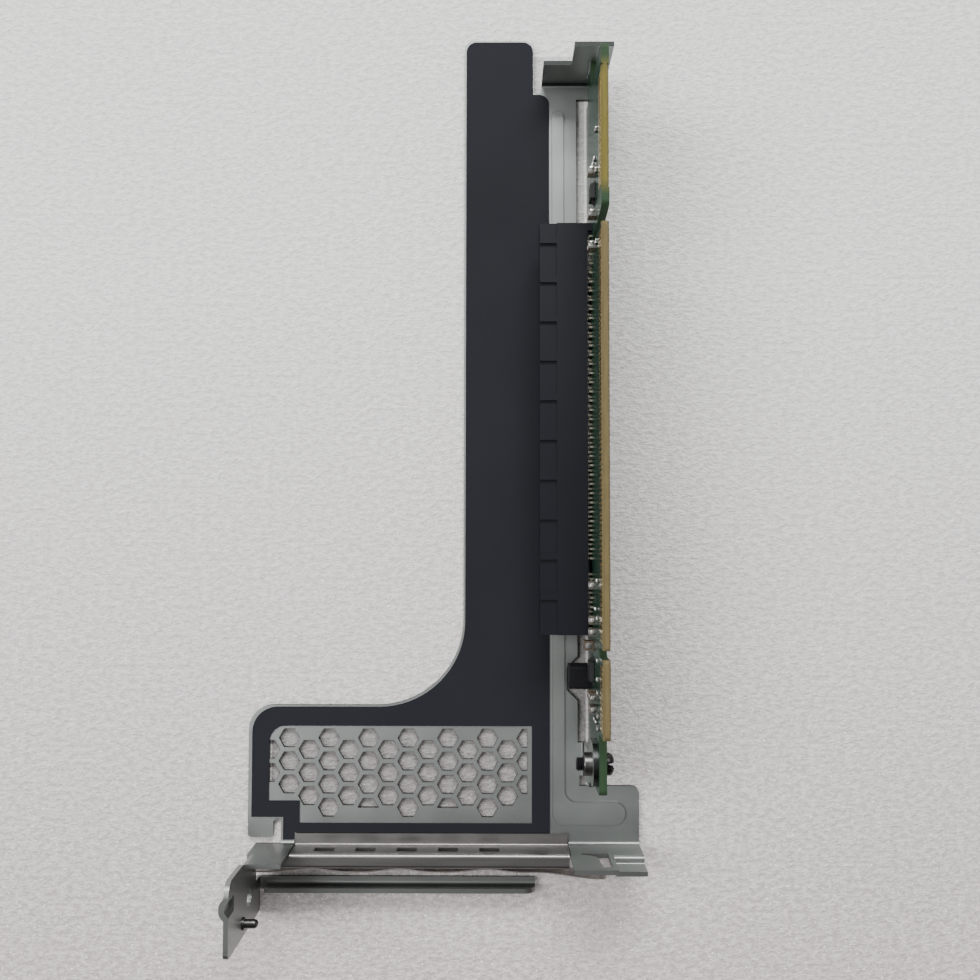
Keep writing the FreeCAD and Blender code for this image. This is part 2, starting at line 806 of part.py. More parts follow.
def bead(inset):
    """Outline of the stamped stiffening bead, moved inwards by an inset."""
    left = S.bead_left + inset
    right = S.bead_left + S.bead_width - inset
    low = S.bead_leg_top - S.bead_leg_width + inset
    round_end = S.bead_corner - inset
    round_top = S.bead_width * 0.45 - inset
    return [
        (left, S.bead_top - inset, round_top),
        (left, low, round_end),
        (S.bead_leg_end - inset, low, round_end),
        (S.bead_leg_end - inset, S.bead_leg_top - inset, round_end),
        (right, S.bead_leg_top - inset, S.bead_corner + inset),
        (right, S.bead_top - inset, round_top),
    ]


def stamped_bead(body):
    """The bead stands up from the plate and leaves a groove of the same depth below."""
    pad(body, "XY_Plane", TOP, [bead(as_dim(0))], S.bead_height)
    pocket(body, "XY_Plane", 0, [bead(S.bead_height)], S.bead_height, True)


def cage_sheet():
    body = new_body("cage_sheet")
    cage_plate(body)
    end_flange(body)
    screw_tab(body)
    rear_wall(body)
    bracket_tab(body)
    retaining_arm(body)
    stamped_bead(body)
    vent(body)


# ---------------------------------------------------------------------------- film
def insulation_film():
    """The film glued to the plate, open over the vent."""
    body = new_body("insulation_film")
    inset = S.film_inset
    pad(body, "XY_Plane", TOP, [[
        (S.arm_left + inset, S.arm_end - inset, S.arm_corner),
        (S.arm_left + inset, S.foot_top - inset, S.throat_radius),
        (S.foot_left + inset * 2, S.foot_top - inset, S.foot_corner),
        (S.foot_left + inset * 2, S.film_foot_bottom),
        (S.film_leg_left, S.film_foot_bottom),
        (S.film_leg_left, S.film_leg_end),
        (S.neck_right, S.film_leg_end),
        (S.neck_right, S.film_bottom),
        (S.film_right, S.film_bottom),
        (S.film_right, S.film_step_y, S.arm_corner),
        (S.finger_right - inset / 2, S.film_step_y),
        (S.finger_right - inset / 2, S.arm_end - inset, S.arm_corner),
    ]], S.film_gauge)
    pocket(body, "XY_Plane", TOP - S.film_gauge, [[
        (S.vent_left, S.vent_top, S.vent_corner),
        (S.vent_left, S.vent_notch_y),
        (S.vent_notch_x, S.vent_notch_y),
        (S.vent_notch_x, S.vent_bottom),
        (S.vent_right, S.vent_bottom),
        (S.vent_right, S.vent_top),
    ]], S.film_gauge * 3, True)


# ---------------------------------------------------------------------------- gasket rail
LIP_BACK = S.wall_face - S.rail_lip


def gasket_rail():
    """The folded rail along the plate's rear edge: foot, web with holes, hemmed lip."""
    body = new_body("gasket_rail")
    gauge = S.rail_gauge
    web_back = S.wall_face - gauge
    foot_edge = S.wall_face + S.rail_foot_width
    lip_low = S.rail_height - S.rail_lip_gauge
    pad(body, "YZ_Plane", S.rail_left, [[
        (foot_edge, TOP),
        (foot_edge, TOP + gauge),
        (S.wall_face, TOP + gauge, gauge / 2),
        (S.wall_face, S.rail_height, gauge),
        (LIP_BACK, S.rail_height, gauge),
        (LIP_BACK, lip_low, gauge),
        (web_back, lip_low),
        (web_back, TOP),
    ]], S.rail_right - S.rail_left)
    pocket(body, "XZ_Plane", -WALL_BACK, [[
        (S.rail_left - gauge, 0),
        (S.rail_foot_left, 0),
        (S.rail_foot_left, S.rail_height + gauge),
        (S.rail_left - gauge, S.rail_height + gauge),
    ]], foot_edge - WALL_BACK + gauge)
    half = S.rail_hole_width / 2
    top = S.rail_hole_low + S.rail_hole_height
    first = S.rail_hole_first
    hole = pocket(body, "XZ_Plane", -web_back + gauge, [[
        (first - half, S.rail_hole_low),
        (first + half, S.rail_hole_low),
        (first + half, top, gauge),
        (first - half, top, gauge),
    ]], gauge * 3)
    repeat(body, hole, [("H_Axis", S.rail_hole_pitch, S.rail_hole_count)])


def contact_spring():
    """The grounding spring: bowed fingers against the rail's lip and a flared free end."""
    gauge = N.spring_gauge
    lip_back = LIP_BACK.number
    rest_y = lip_back - N.spring_clearance - gauge / 2 - N.spring_bow
    start = N.left_wall_end + N.sheet_gauge + N.spring_clearance
    steps = 14
    points = [FreeCAD.Vector(start, rest_y, 0)]
    for finger in range(int(N.spring_count)):
        left = N.spring_first + finger * N.spring_pitch
        for step in range(steps + 1):
            share = step / steps
            rise = N.spring_bow * math.sin(math.pi * share) ** 2
            points.append(FreeCAD.Vector(left + share * N.spring_finger, rest_y + rise, 0))
    tail = points[-1].x + N.spring_pitch - N.spring_finger
    for step in range(steps + 1):
        share = step / steps
        drop = N.tail_flare * (1 - math.cos(math.pi * share)) / 2
        points.append(FreeCAD.Vector(tail + share * N.tail_finger, rest_y - drop, 0))
    curl = N.tail_flare / 2
    end = points[-1]
    for step in range(1, steps):
        angle = -math.pi / 2 + step / steps * math.pi * 1.2
        centre = end + FreeCAD.Vector(0, curl, 0)
        points.append(centre + FreeCAD.Vector(math.cos(angle), math.sin(angle), 0) * curl)
    face = strip_face(points, gauge, UPWARD)
    face.translate(FreeCAD.Vector(0, 0, N.spring_low))
    drawn_part("contact_spring", face.extrude(FreeCAD.Vector(0, 0, N.spring_high - N.spring_low)))


def locating_pin():
    """The domed pin riveted to the bracket tab's inner face."""
    body = new_body("locating_pin")
    radius = S.pin_diameter / 2
    sketch = new_sketch(body, "XY_Plane")
    add_outline(sketch, [
        (0, 0),
        (S.pin_length, 0),
        (S.pin_length, radius, radius * 0.95),
        (S.pin_collar, radius),
        (S.pin_collar, radius * 1.4),
        (0, radius * 1.4),
    ])
    turn = body.newObject("PartDesign::Revolution", "Revolution")
    turn.Profile = sketch
    turn.ReferenceAxis = (sketch, ["H_Axis"])
    body.Tip = turn
    bind(body, "Placement.Base.x", BRACKET_INNER)
    bind(body, "Placement.Base.y", S.pin_y)
    bind(body, "Placement.Base.z", S.pin_z)


# ---------------------------------------------------------------------------- board
def riser_board():
    """The circuit board on edge, with its gold-finger tongues, throat, lug and screw hole."""
    body = new_body("riser_board")
    top = S.tongue_height
    round_top = S.tongue_corner
    lug_end = FLANGE_BACK + S.lug_reach
    lug_high = S.lug_low + S.lug_height
    throat = S.long_tongue_end + S.throat_mouth
    pad(body, "YZ_Plane", 0, [[
        (0, S.board_bottom),
        (S.board_end, S.board_bottom),
        (S.board_end, S.lug_low),
        (lug_end, S.lug_low, S.lug_reach * 0.8),
        (lug_end, lug_high, S.lug_reach * 0.8),
        (S.board_end, lug_high),
        (S.board_end, top, round_top),
        (throat, top, round_top),
        (throat - S.throat_taper, S.throat_bottom + S.throat_mouth, round_top),
        (throat - S.throat_taper, S.throat_bottom, S.throat_floor),
        (S.long_tongue_end, S.throat_bottom, S.throat_floor),
        (S.long_tongue_end, top, round_top),
        (S.key_start + S.key_width, top, round_top / 2),
        (S.key_start + S.key_width, S.key_floor, S.key_width * 0.49),
        (S.key_start, S.key_floor, S.key_width * 0.49),
        (S.key_start, top, round_top / 2),
        (S.short_tongue_start, top, round_top),
        (S.short_tongue_start, S.shoulder_height, round_top / 2),
        (0, S.shoulder_height, round_top),
    ]], S.board_gauge)
    over = S.bevel_side
    for start, end in TONGUES:
        low = top - S.bevel_depth
        near = [(-over, low), (0, low), (S.bevel_side, top), (S.bevel_side, top + over), (-over, top + over)]
        face = S.board_gauge
        far = [(face + over, low), (face, low), (face - S.bevel_side, top),
               (face - S.bevel_side, top + over), (face + over, top + over)]
        pocket(body, "XZ_Plane", -start, [near, far], end - start)
    hole = (S.screw_y, S.screw_z, S.screw_hole)
    pocket(body, "YZ_Plane", -S.board_gauge, [], S.board_gauge * 3, True, [hole])


TONGUES = (
    (S.short_tongue_start, S.key_start),
    (S.key_start + S.key_width, S.long_tongue_end),
    (S.upper_tongue_start, S.upper_tongue_end),
)


def edge_contacts(label, tongue):
    """One row of gold fingers on both faces of a tongue."""
    start, end = (side.number for side in tongue)
    room = end - start - 2 * N.pad_margin - N.pad_width
    count = int(room / N.pad_pitch) + 1
    first = (start + end - (count - 1) * N.pad_pitch) / 2
    high = N.tongue_height - N.bevel_depth
    low = high - N.pad_length
    pads = []
    for index in range(count):
        front = first + index * N.pad_pitch - N.pad_width / 2
        back = front + N.pad_width
        pads.append(solid_box(-N.pad_gauge, 0, front, back, low, high))
        face = N.board_gauge
        pads.append(solid_box(face, face + N.pad_gauge, front, back, low, high))
    drawn_part(label, Part.makeCompound(pads))


# ---------------------------------------------------------------------------- card slot
SLOT_MOUTH = -S.slot_standoff - S.slot_depth
SLOT_BASE = -S.slot_standoff
SLOT_END = S.slot_y + S.slot_length
KEY_START = S.slot_y + S.slot_key


def slot_cells(half_width):
    """The two card cells either side of the key, as outlines in Y and Z."""
    low = S.slot_middle - half_width
    high = S.slot_middle + half_width
    return [
        rectangle(S.slot_y + S.slot_end_wall, KEY_START, low, high),
        rectangle(KEY_START + S.slot_key_width, SLOT_END - S.slot_end_wall, low, high),
    ]


def slot_housing():
    """The moulded x16 slot: mouth, cells, key, side rails with ribs, and its feet."""
    body = new_body("slot_housing")
    half = S.slot_width / 2
    low = S.slot_middle - half
    high = S.slot_middle + half
    pad(body, "YZ_Plane", SLOT_MOUTH, [rectangle(S.slot_y, SLOT_END, low, high)], S.slot_depth)
    rail_end = SLOT_MOUTH + S.slot_rail_depth
    step = S.slot_rail_step
    sides = [
        rectangle(SLOT_MOUTH - step, rail_end, high - step, high + step),
        rectangle(SLOT_MOUTH - step, rail_end, low - step, low + step),
    ]
    pocket(body, "XZ_Plane", -S.slot_y + step, sides, S.slot_length + step * 2)
    ribs = pad(body, "XZ_Plane", -S.slot_rib_first - S.slot_rib_width, [
        rectangle(SLOT_MOUTH, rail_end, high - step, high),
        rectangle(SLOT_MOUTH, rail_end, low, low + step),
    ], S.slot_rib_width)
    repeat(body, ribs, [("N_Axis", -S.slot_rib_pitch, S.slot_rib_count)])
    mouth = S.slot_mouth_width / 2
    cavity = S.slot_cavity_width / 2
    pocket(body, "YZ_Plane", SLOT_MOUTH - step, slot_cells(mouth), S.slot_depth, True)
    inner = SLOT_MOUTH + S.slot_lip
    pocket(body, "YZ_Plane", inner, slot_cells(cavity), S.slot_depth, True)
    foot = S.slot_foot
    pad(body, "YZ_Plane", SLOT_BASE, [
        rectangle(S.slot_y, S.slot_y + foot, low, low + foot),
        rectangle(S.slot_y, S.slot_y + foot, high - foot, high),
        rectangle(SLOT_END - foot, SLOT_END, low, low + foot),
        rectangle(SLOT_END - foot, SLOT_END, high - foot, high),
    ], S.slot_standoff)


def slot_contacts(label, side):
    """One side's contacts: a bowed blade in the cell and a tail to the board's face."""
    middle = N.slot_middle
    wall = N.slot_cavity_width / 2 - N.contact_thickness
    tip = SLOT_MOUTH.number + N.slot_lip + N.contact_tip_gap
    base = SLOT_BASE.number
    solids = []
    index = 0
    for cell in slot_cells(S.slot_mouth_width):
        start = cell[0][0].number + N.contact_margin
        end = cell[1][0].number - N.contact_margin
        count = int((end - start) / N.contact_pitch) + 1
        first = (start + end - (count - 1) * N.contact_pitch) / 2
        for step in range(count):
            tail = N.tail_outer if index % 2 else N.tail_inner
            index += 1
            jog = base + N.contact_thickness * 1.4
            profile = [
                (tip, wall),
                (tip + N.contact_bow_length / 2, N.contact_touch),
                (tip + N.contact_bow_length, wall),
                (jog, wall),
                (jog + N.contact_thickness / 2, tail),
                (0, tail),
            ]
            middle_y = first + step * N.contact_pitch
            points = [FreeCAD.Vector(x, middle_y - N.contact_gauge / 2, middle + side * z) for x, z in profile]
            face = strip_face(points, N.contact_thickness, LENGTHWISE)
            solids.append(face.extrude(FreeCAD.Vector(0, N.contact_gauge, 0)))
    drawn_part(label, Part.makeCompound(solids))


# ---------------------------------------------------------------------------- screw and nut
def board_screw():
    """The low-head screw that holds the board to the cage's tab."""
    body = new_body("board_screw")
    radius = S.screw_diameter / 2
    head = S.screw_head / 2
    face = S.board_gauge
    end = face + S.screw_head_height
    chamfer = S.thread_clearance * 6
    sketch = new_sketch(body, "XY_Plane")
    add_outline(sketch, [
        (S.screw_tip, 0),
        (end, 0),
        (end, head, S.screw_head_height * 0.4),
        (face, head),
        (face, radius),
        (S.screw_tip + chamfer, radius),
        (S.screw_tip, radius - chamfer),
    ])
    turn = body.newObject("PartDesign::Revolution", "Revolution")
    turn.Profile = sketch
    turn.ReferenceAxis = (sketch, ["H_Axis"])
    body.Tip = turn
    doc.recompute()
    arm = S.screw_recess / 2
    reach = S.screw_recess * 1.5
    cross = [
        (-reach, -arm), (-arm, -arm), (-arm, -reach), (arm, -reach), (arm, -arm), (reach, -arm),
        (reach, arm), (arm, arm), (arm, reach), (-arm, reach), (-arm, arm), (-reach, arm),
    ]
    pocket(body, "YZ_Plane", end, [cross], S.recess_depth)
    bind(body, "Placement.Base.y", S.screw_y)
    bind(body, "Placement.Base.z", S.screw_z)


def clinch_nut():
    """The nut pressed into the tab, whose thread takes the board screw."""
    body = new_body("clinch_nut")
    bore = S.screw_diameter / 2 + S.thread_clearance
    shank = S.nut_shank / 2
    flange = S.nut_diameter / 2
    inner = -S.sheet_gauge
    sketch = new_sketch(body, "XY_Plane")
    add_outline(sketch, [
        (inner - S.nut_height, bore),
        (-S.thread_clearance, bore),
        (-S.thread_clearance, shank),
        (inner, shank),
        (inner, flange),
        (inner - S.nut_height, flange, S.nut_height * 0.2),
    ])
    turn = body.newObject("PartDesign::Revolution", "Revolution")
    turn.Profile = sketch
    turn.ReferenceAxis = (sketch, ["H_Axis"])
    body.Tip = turn
    bind(body, "Placement.Base.y", S.screw_y)
    bind(body, "Placement.Base.z", S.screw_z)


# ---------------------------------------------------------------------------- soldered parts
def power_inductor():
    """The moulded power inductor soldered low on the board's component face."""
    body = new_body("power_inductor")
    corner = S.inductor_length * 0.1
    outline = rectangle(S.inductor_y, S.inductor_y + S.inductor_length,
                        S.inductor_z, S.inductor_z + S.inductor_height, corner)
    pad(body, "YZ_Plane", -S.inductor_depth, [outline], S.inductor_depth)


def leaded_chip(label, front, low, length, width, depth, leads, pitch):
    """A chip on the component face with a row of bent leads along its two ends."""
    body = solid_box(-depth, -N.lead_lift, front, front + length, low, low + width)
    solids = [body]
    first = low + width / 2 - (leads - 1) * pitch / 2
    for index in range(leads):
        middle_z = first + index * pitch
        for edge, side in ((front, -1), (front + length, 1)):
            points = [
                (-depth / 2, edge),
                (-depth / 2, edge + side * N.lead_reach * 0.4),
                (-N.lead_gauge / 2, edge + side * N.lead_reach * 0.6),
                (-N.lead_gauge / 2, edge + side * N.lead_reach),
            ]
            line = [FreeCAD.Vector(x, y, middle_z - N.lead_width / 2) for x, y in points]
            face = strip_face(line, N.lead_gauge, UPWARD)
            solids.append(face.extrude(FreeCAD.Vector(0, 0, N.lead_width)))
    drawn_part(label, Part.makeCompound(solids))


def chip_parts(label, places, length, width, depth):
    """Small end-capped chips on the component face, long side along Z."""
    solids = []
    for middle_y, middle_z in places:
        front = middle_y - width / 2
        low = middle_z - length / 2
        solids.append(solid_box(-depth, 0, front, front + width, low, low + length))
    drawn_part(label, Part.makeCompound(solids))


def soldered_parts():
    power_inductor()
    leaded_chip("regulator_chip", N.regulator_y, N.regulator_z, N.regulator_length,
                N.regulator_width, N.regulator_depth, int(N.lead_count), N.regulator_pitch)
    leaded_chip("buffer_chip", N.buffer_y, N.buffer_z, N.buffer_length,
                N.buffer_width, N.buffer_depth, int(N.lead_count), N.lead_pitch)
    over_chip = N.regulator_y - N.lead_reach - N.capacitor_width
    under_slot = N.slot_y + N.slot_rib_width
    beyond_slot = N.slot_y + N.slot_length
    chip_parts("ceramic_capacitors", [
        (over_chip, N.capacitor_z),
        (over_chip - N.part_pitch, N.capacitor_z),
        (over_chip, N.capacitor_z - N.part_row),
        (under_slot, N.capacitor_z),
        (under_slot + N.part_pitch, N.capacitor_z),
        (under_slot + 4 * N.part_pitch, N.capacitor_z),
        (beyond_slot - N.part_row * 2, N.capacitor_z),
        (beyond_slot - N.slot_end_wall / 4, N.capacitor_z),
        (beyond_slot + N.part_pitch * 3.6, N.capacitor_z),
    ], N.capacitor_length, N.capacitor_width, N.capacitor_depth)
    chip_parts("chip_resistors", [
        (over_chip - 2 * N.part_pitch, N.resistor_z + N.part_row),
        (over_chip - 2 * N.part_pitch, N.resistor_z),
        (under_slot + 2 * N.part_pitch, N.resistor_z + N.part_row),
        (beyond_slot + N.part_row * 3, N.resistor_z + N.part_row),
        (beyond_slot + N.part_row * 3, N.resistor_z),
    ], N.resistor_length, N.resistor_width, N.resistor_depth)
    chip_parts("tantalum_capacitor", [
        (N.tantalum_y, N.tantalum_z),
    ], N.tantalum_length, N.tantalum_width, N.tantalum_depth)


# ---------------------------------------------------------------------------- assembly
cage_sheet()
insulation_film()
gasket_rail()
contact_spring()
locating_pin()
riser_board()
for tongue_name, tongue_ends in zip(("short", "long", "upper"), TONGUES):
    edge_contacts(f"edge_contacts_{tongue_name}", tongue_ends)
slot_housing()
slot_contacts("slot_contacts_near", 1)
slot_contacts("slot_contacts_far", -1)
board_screw()
clinch_nut()
soldered_parts()
doc.recompute()

for item in doc.Objects:
    if {"Invalid", "Error"} & set(item.State):
        raise RuntimeError(f"{item.Label} could not be made: {item.State}")
    if item.TypeId == "Sketcher::SketchObject" and not item.FullyConstrained:
        raise RuntimeError(f"{item.Label} is not fully constrained")
for node in NODES:
    if node.Shape.isNull() or not node.Shape.isValid() or not node.Shape.Solids:
        raise RuntimeError(f"{node.Label} is not a valid solid")

os.makedirs("parts", exist_ok=True)
for node in NODES:
    node.Shape.exportStep(f"parts/{node.Label}.step")
    print(node.Label, len(node.Shape.Solids), round(node.Shape.Volume, 2), node.Shape.BoundBox)
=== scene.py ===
"""Riser card in its sheet-metal cage: finishes for the solids, and the small detail they lack."""
import math

import bpy
import numpy as np
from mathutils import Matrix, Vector


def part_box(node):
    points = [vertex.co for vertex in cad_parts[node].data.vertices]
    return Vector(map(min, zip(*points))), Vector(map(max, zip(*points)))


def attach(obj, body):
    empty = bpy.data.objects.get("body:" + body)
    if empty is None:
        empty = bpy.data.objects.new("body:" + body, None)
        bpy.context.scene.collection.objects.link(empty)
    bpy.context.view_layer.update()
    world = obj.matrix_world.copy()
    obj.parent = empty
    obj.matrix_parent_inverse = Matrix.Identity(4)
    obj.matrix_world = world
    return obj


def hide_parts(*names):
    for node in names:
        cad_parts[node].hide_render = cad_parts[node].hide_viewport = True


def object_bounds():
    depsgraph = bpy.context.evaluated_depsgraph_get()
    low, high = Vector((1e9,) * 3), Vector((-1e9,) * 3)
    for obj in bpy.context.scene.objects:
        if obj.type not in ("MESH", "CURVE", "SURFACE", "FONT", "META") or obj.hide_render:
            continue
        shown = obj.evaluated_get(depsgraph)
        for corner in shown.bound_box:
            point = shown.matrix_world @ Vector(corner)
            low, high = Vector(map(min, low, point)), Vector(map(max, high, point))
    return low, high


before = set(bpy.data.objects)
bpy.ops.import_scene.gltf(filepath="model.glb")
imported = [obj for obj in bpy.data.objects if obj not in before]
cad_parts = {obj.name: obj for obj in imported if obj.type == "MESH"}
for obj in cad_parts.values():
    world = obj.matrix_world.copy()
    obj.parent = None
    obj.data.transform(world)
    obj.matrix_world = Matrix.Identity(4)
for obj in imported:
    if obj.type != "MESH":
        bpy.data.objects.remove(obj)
solid_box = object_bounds()


# ------------------------------------------------------------------ studio
# The cage lies on a plain pale sheet and is seen from straight above. Two broad soft lamps
# stand beyond its top end and to its left, so that no flat face mirrors them.
MM = 0.001


class Value:
    """A shader socket with arithmetic: an expression on values adds its Math nodes."""

    def __init__(self, tree, socket):
        self.tree = tree
        self.socket = socket

    def math(self, operation, *operands):
        """One Math node on operands that are values or plain numbers."""
        node = self.tree.nodes.new("ShaderNodeMath")
        node.operation = operation
        for slot, given in zip(node.inputs, operands):
            if isinstance(given, Value):
                self.tree.links.new(given.socket, slot)
            else:
                slot.default_value = given
        return Value(self.tree, node.outputs[0])

    def __add__(self, other):
        return self.math("ADD", self, other)

    def __radd__(self, other):
        return self.math("ADD", other, self)

    def __sub__(self, other):
        return self.math("SUBTRACT", self, other)

    def __rsub__(self, other):
        return self.math("SUBTRACT", other, self)

    def __mul__(self, other):
        return self.math("MULTIPLY", self, other)

    def __rmul__(self, other):
        return self.math("MULTIPLY", other, self)

    def __truediv__(self, other):
        return self.math("DIVIDE", self, other)

    def __gt__(self, other):
        return self.math("GREATER_THAN", self, other)

    def __lt__(self, other):
        return self.math("LESS_THAN", self, other)

    def __abs__(self):
        return self.math("ABSOLUTE", self)

    def most(self, other):
        """The larger of two values."""
        return self.math("MAXIMUM", self, other)

    def least(self, other):
        """The smaller of two values."""
        return self.math("MINIMUM", self, other)

    def sine(self):
        """The sine of an angle in radians."""
        return self.math("SINE", self)


class Graph:
    """A node tree that is filled through one node-making method."""

    def __init__(self, tree):
        self.tree = tree

    def fill(self, slot, given):
        """Give a socket a value's link, a colour or a number."""
        if isinstance(given, Value):
            self.tree.links.new(given.socket, slot)
        elif slot.type == "RGBA" and len(given) == 3:
            slot.default_value = (*given, 1.0)
        else:
            slot.default_value = given

    def node(self, kind, inputs, output=0, **settings):
        """Any node: its settings first, then its sockets by name or number; gives one output."""
        made = self.tree.nodes.new(f"ShaderNode{kind}")
        for name, given in settings.items():
            setattr(made, name, given)
        for name, given in inputs.items():
            self.fill(made.inputs[name], given)
        return Value(self.tree, made.outputs[output])

    def blend(self, share, first, second):
        """A mix of two colours by a share between 0 and 1."""
        return self.node("Mix", {0: share, 6: first, 7: second}, output=2, data_type="RGBA")

    def span(self, value, start, end):
        """A value mapped so that start gives 0 and end gives 1, held at both."""
        return self.node("MapRange", {"Value": value, "From Min": start, "From Max": end})


class Finish(Graph):
    """A material with a Principled shader whose patterns follow Object coordinates."""

    def __init__(self, name, **sockets):
        self.material = bpy.data.materials.new(name)
        self.material.use_nodes = True
        super().__init__(self.material.node_tree)
        self.shader = self.tree.nodes["Principled BSDF"]
        self.set(**sockets)
        self.place = self.node("TexCoord", {}, output="Object")

    def set(self, **sockets):
        """Set or link sockets of the shader; an underscore stands for a space."""
        for name, given in sockets.items():
            self.fill(self.shader.inputs[name.replace("_", " ")], given)

    def noise(self, scale, detail=2.0, roughness=0.5, stretch=(1.0, 1.0, 1.0)):
        """Noise with a number of cycles in a metre, stretched along the axes."""
        where = self.node("Mapping", {"Vector": self.place, "Scale": stretch})
        wanted = {"Vector": where, "Scale": scale, "Detail": detail, "Roughness": roughness}
        return self.node("TexNoise", wanted)

    def axis(self, index):
        """The object's X, Y or Z in metres."""
        return self.node("SeparateXYZ", {0: self.place}, output=index)

    def facing(self, index):
        """The X, Y or Z of the way that the surface faces."""
        normal = self.node("NewGeometry", {}, output="Normal")
        return self.node("SeparateXYZ", {0: normal}, output=index)

    def eased(self, index, radius):
        """The X, Y or Z of the surface's facing, as if its edges were rounded to a radius."""
        normal = self.node("Bevel", {"Radius": radius}, samples=4)
        return self.node("SeparateXYZ", {0: normal}, output=index)

    def bump(self, height, distance, strength=1.0):
        """Roughen the surface by a height map, deep by a distance in metres."""
        made = self.node("Bump", {"Strength": strength, "Distance": distance, "Height": height})
        self.set(Normal=made)

    def on(self, *nodes):
        """Give this finish to whole solids of the frame."""
        for name in nodes:
            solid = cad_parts[name]
            solid.data.materials.clear()
            solid.data.materials.append(self.material)


def aim(thing, place, target):
    """Put a lamp at a place with its -Z axis towards the target."""
    thing.location = place
    thing.rotation_euler = (Vector(target) - Vector(place)).to_track_quat("-Z", "Y").to_euler()


def soft_lamp(name, place, target, width, length, power):
    """A rectangular soft lamp aimed at a target."""
    lamp = bpy.data.objects.new(name, bpy.data.lights.new(name, "AREA"))
    lamp.data.shape = "RECTANGLE"
    lamp.data.size = width
    lamp.data.size_y = length
    lamp.data.energy = power
    bpy.context.scene.collection.objects.link(lamp)
    aim(lamp, place, target)


def room_light(graph, lit, seen, horizon, ceiling):
    """World light with one level on matt surfaces and one for the camera.

    Reflections see a ceiling that is bright overhead, and dark towards the horizon and -Y.
    """
    camera_ray = graph.node("LightPath", {}, output="Is Camera Ray")
    glossy_ray = graph.node("LightPath", {}, output="Is Glossy Ray")
    toward = graph.node("TexCoord", {}, output="Generated")
    upward = graph.node("SeparateXYZ", {0: toward}, output=2)
    beyond = graph.node("SeparateXYZ", {0: toward}, output=1)
    overhead = graph.span(upward, 0.35, 0.95) * graph.span(beyond, -0.42, -0.16)
    mirrored = graph.node("Background", {"Color": graph.blend(overhead, horizon, ceiling)})
    soft = graph.node("Background", {"Color": (lit, lit, lit)})
    plain = graph.node("Background", {"Color": (seen, seen, seen)})
    around = graph.node("MixShader", {0: glossy_ray, 1: soft, 2: mirrored})
    return graph.node("MixShader", {0: camera_ray, 1: around, 2: plain})


low, high = solid_box
middle = (low + high) / 2
soft_lamp("far_lamp", (middle.x + 0.05, high.y + 1.15, 1.05), middle, 1.0, 0.5, 32.0)
soft_lamp("left_lamp", (low.x - 0.85, middle.y + 0.15, 1.05), middle, 0.5, 0.8, 14.0)

world = bpy.data.worlds.new("room")
bpy.context.scene.world = world
world.use_nodes = True
room = Graph(world.node_tree)
sky = room_light(room, 0.60, 0.66, horizon=(0.07, 0.06, 0.06), ceiling=(0.40, 0.40, 0.40))
room.fill(world.node_tree.nodes["World Output"].inputs["Surface"], sky)

floor_mesh = bpy.data.meshes.new("floor")
reach = 4.0
floor_corners = [(-reach, -reach, 0), (reach, -reach, 0), (reach, reach, 0), (-reach, reach, 0)]
floor_mesh.from_pydata(floor_corners, [], [(0, 1, 2, 3)])
floor = bpy.data.objects.new("floor", floor_mesh)
bpy.context.scene.collection.objects.link(floor)

# Foam sheet: cells, bright specks painted as glints, and painted shade towards -Y and under the
# L-shaped plate.
paper = Finish("pale_sheet", Roughness=0.85, Specular_IOR_Level=0.2)
# Painted shade: the foam turns darker and pinker towards -Y.
painted_falloff = paper.span(paper.axis(1), -0.07, 0.11)
cells = paper.noise(760.0, detail=3.0, roughness=0.75, stretch=(0.8, 1.2, 1.0))
specks = paper.noise(1500.0, detail=1.0)
pale = paper.blend(painted_falloff, (0.66, 0.60, 0.595), (0.93, 0.915, 0.90))
grey = paper.blend(painted_falloff, (0.44, 0.39, 0.385), (0.74, 0.725, 0.715))
foam = paper.blend(paper.span(cells, 0.40, 0.60), grey, pale)
across = paper.axis(0)
along = paper.axis(1)
# Painted shadow: a near-black patch on the foam under the L-shaped plate, deepest towards -Y.
arm_edge = -20 * MM
foot_reach = -51 * MM
foot_top = 12.5 * MM
plate_left = (along < foot_top) * foot_reach + arm_edge
under = (across > plate_left) * (across < -0.5 * MM) * (along > -11 * MM) * (along < 163 * MM)
shade = paper.span(along, 0.11, 0.02) * 0.28 + 0.30
# Painted glints: near-white specks mixed into the foam's colour.
foam_with_painted_glints = paper.blend(paper.span(specks, 0.66, 0.72), foam, (0.97, 0.96, 0.95))
paper.set(Base_Color=paper.blend(under * shade, foam_with_painted_glints, (0.02, 0.02, 0.02)))
paper.bump(cells, 0.0010, 0.7)
floor_mesh.materials.append(paper.material)

camera = bpy.data.objects.new("camera", bpy.data.cameras.new("camera"))
camera.data.lens = 38.68
camera.location = (-20.84 * MM, 51.43 * MM, 238.88 * MM)
camera.rotation_euler = (math.radians(2.672), math.radians(0.295), math.radians(0.076))
bpy.context.scene.collection.objects.link(camera)
bpy.context.scene.camera = camera


# ------------------------------------------------------------------ cage
# One folded sheet of zinc-coated steel with a fine matte grain and slightly blotched. Painted
# shade darkens its cut edges, upper rims and the flanks of beads and folds, and its end towards
# -Y.
zinc = Finish("galvanised_steel", Metallic=1.0)
zinc_cloud = zinc.noise(90.0, detail=4.0, roughness=0.6)
zinc_grain = zinc.noise(2600.0, detail=2.0)
up = zinc.facing(2)
# Painted shade: the sheet darkens towards -Y, beyond Y = -8 mm.
rear = zinc.span(zinc.axis(1), -8 * MM, -14 * MM)
on_plate = zinc.span(zinc.axis(1), -13 * MM, -11 * MM)
